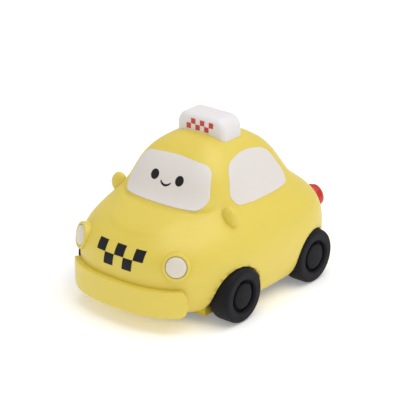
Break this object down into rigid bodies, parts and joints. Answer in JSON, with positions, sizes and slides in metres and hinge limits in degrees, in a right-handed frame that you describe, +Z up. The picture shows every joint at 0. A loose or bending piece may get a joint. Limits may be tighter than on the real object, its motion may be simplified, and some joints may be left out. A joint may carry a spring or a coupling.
{
  "type": "friction toy car",
  "caption": "Round toy taxi with a flywheel friction motor: moulded body and roof sign on a chassis plate, with fat wheels on two steel axles.",
  "frame": {"origin": "on the ground under the middle of the car's length and width", "axes": "+Z up, the front of the car points along -Y, the car's own left side is +X"},
  "size_m": [0.0902, 0.1218, 0.0825],
  "materials": {
    "body": "matte moulded vinyl",
    "window_print": "satin white",
    "sign_white": "satin white, slightly translucent",
    "lens_white": "satin white",
    "lamp_red": "glossy translucent red",
    "tyre_rubber": "matte black",
    "hub_black": "satin black",
    "chassis_black": "matte moulded",
    "motor_nylon": "natural nylon",
    "gear_nylon": "natural acetal",
    "pinion_brass": "machined",
    "flywheel_zinc": "die-cast, dull",
    "steel": "bright drawn wire and plated screws"
  },
  "bodies": {
    "car": {"body_shell": "body", "front_bumper": "body", "windscreen_panel": "window_print", "rear_window_panel": "window_print", "left_window_panel": "window_print", "right_window_panel": "window_print", "left_headlamp_bezel": "body", "right_headlamp_bezel": "body", "left_headlamp_lens": "lens_white", "right_headlamp_lens": "lens_white", "left_tail_lamp": "lamp_red", "right_tail_lamp": "lamp_red", "left_mirror": "body", "right_mirror": "body", "roof_sign": "sign_white", "chassis_plate": "chassis_black", "chassis_screws": "steel", "motor_case": "motor_nylon", "motor_cover": "motor_nylon", "cover_screws": "steel", "motor_screws": "steel", "idler_shaft": "steel"},
    "front_wheels": {"front_axle": "steel", "front_left_tyre": "tyre_rubber", "front_left_hub": "hub_black", "front_right_tyre": "tyre_rubber", "front_right_hub": "hub_black"},
    "rear_wheels": {"rear_axle": "steel", "axle_gear": "gear_nylon", "rear_left_tyre": "tyre_rubber", "rear_left_hub": "hub_black", "rear_right_tyre": "tyre_rubber", "rear_right_hub": "hub_black"},
    "idler": {"idler_gear": "gear_nylon"},
    "flywheel_set": {"flywheel_shaft": "steel", "flywheel_pinion": "pinion_brass", "flywheel": "flywheel_zinc"}
  },
  "joints": [
    {"name": "front_axle_spin", "type": "hinge", "parent": "car", "child": "front_wheels", "pos_m": [0, -0.0222, 0.013], "axis": [1, 0, 0], "continuous": true},
    {"name": "rear_axle_spin", "type": "hinge", "parent": "car", "child": "rear_wheels", "pos_m": [0, 0.0328, 0.013], "axis": [1, 0, 0], "continuous": true},
    {"name": "idler_spin", "type": "hinge", "parent": "car", "child": "idler", "pos_m": [0, 0.02326, 0.01807], "axis": [1, 0, 0], "continuous": true},
    {"name": "flywheel_spin", "type": "hinge", "parent": "car", "child": "flywheel_set", "pos_m": [0, 0.01409, 0.02053], "axis": [1, 0, 0], "continuous": true}
  ],
  "couplings": [
    {"joint": "idler_spin", "follows": "rear_axle_spin", "ratio": -2.6},
    {"joint": "flywheel_spin", "follows": "rear_axle_spin", "ratio": 9.75}
  ]
}
